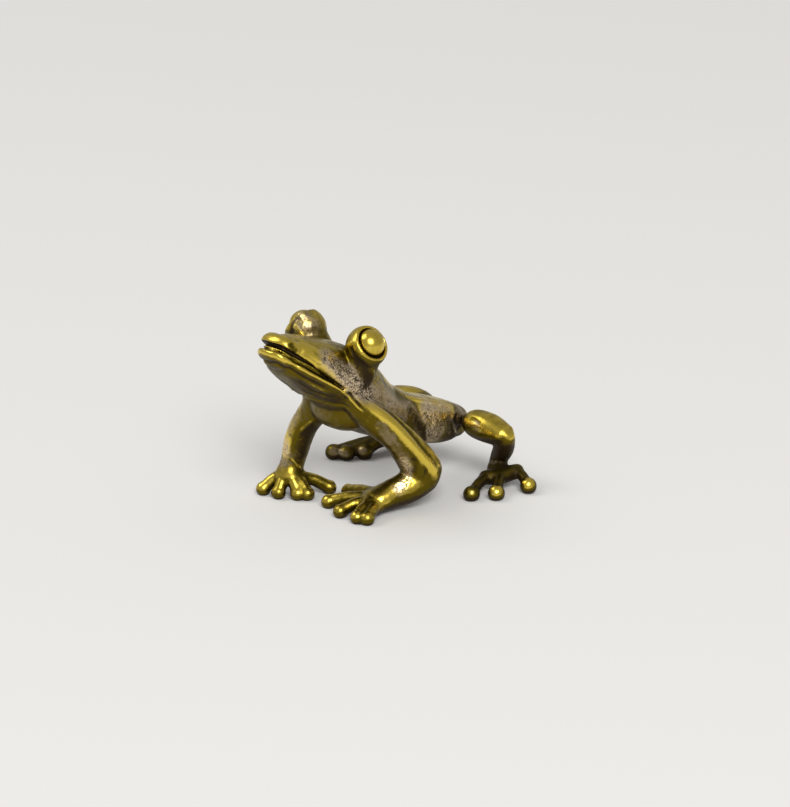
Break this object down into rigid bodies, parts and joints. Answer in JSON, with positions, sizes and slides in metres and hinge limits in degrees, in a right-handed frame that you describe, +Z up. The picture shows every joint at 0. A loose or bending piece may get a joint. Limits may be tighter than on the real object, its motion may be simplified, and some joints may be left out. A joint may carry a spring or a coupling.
{
  "type": "frog figurine",
  "caption": "Small solid brass frog ornament that sits with its head raised, round eyes in ringed sockets and spread toes with round pads; it rests on its soles.",
  "frame": {"origin": "on the plane of the soles, under the middle of the frog's bounding box", "axes": "+Z up, the frog faces -Y, its left side is +X"},
  "size_m": [0.0288, 0.0343, 0.0247],
  "materials": {
    "brass": "polished on the high places, brown patina in the hollows",
    "eye_brass": "polished",
    "dark_brass": "mostly brown patina, rubbed bright on the toe pads"
  },
  "bodies": {
    "root": {"body": "brass", "lower_jaw": "brass", "left_eye": "eye_brass", "right_eye": "eye_brass", "left_foreleg": "brass", "right_foreleg": "brass", "left_thigh": "brass", "right_thigh": "brass", "left_shank": "dark_brass", "right_shank": "dark_brass", "left_hind_foot": "dark_brass", "right_hind_foot": "dark_brass"}
  },
  "joints": []
}
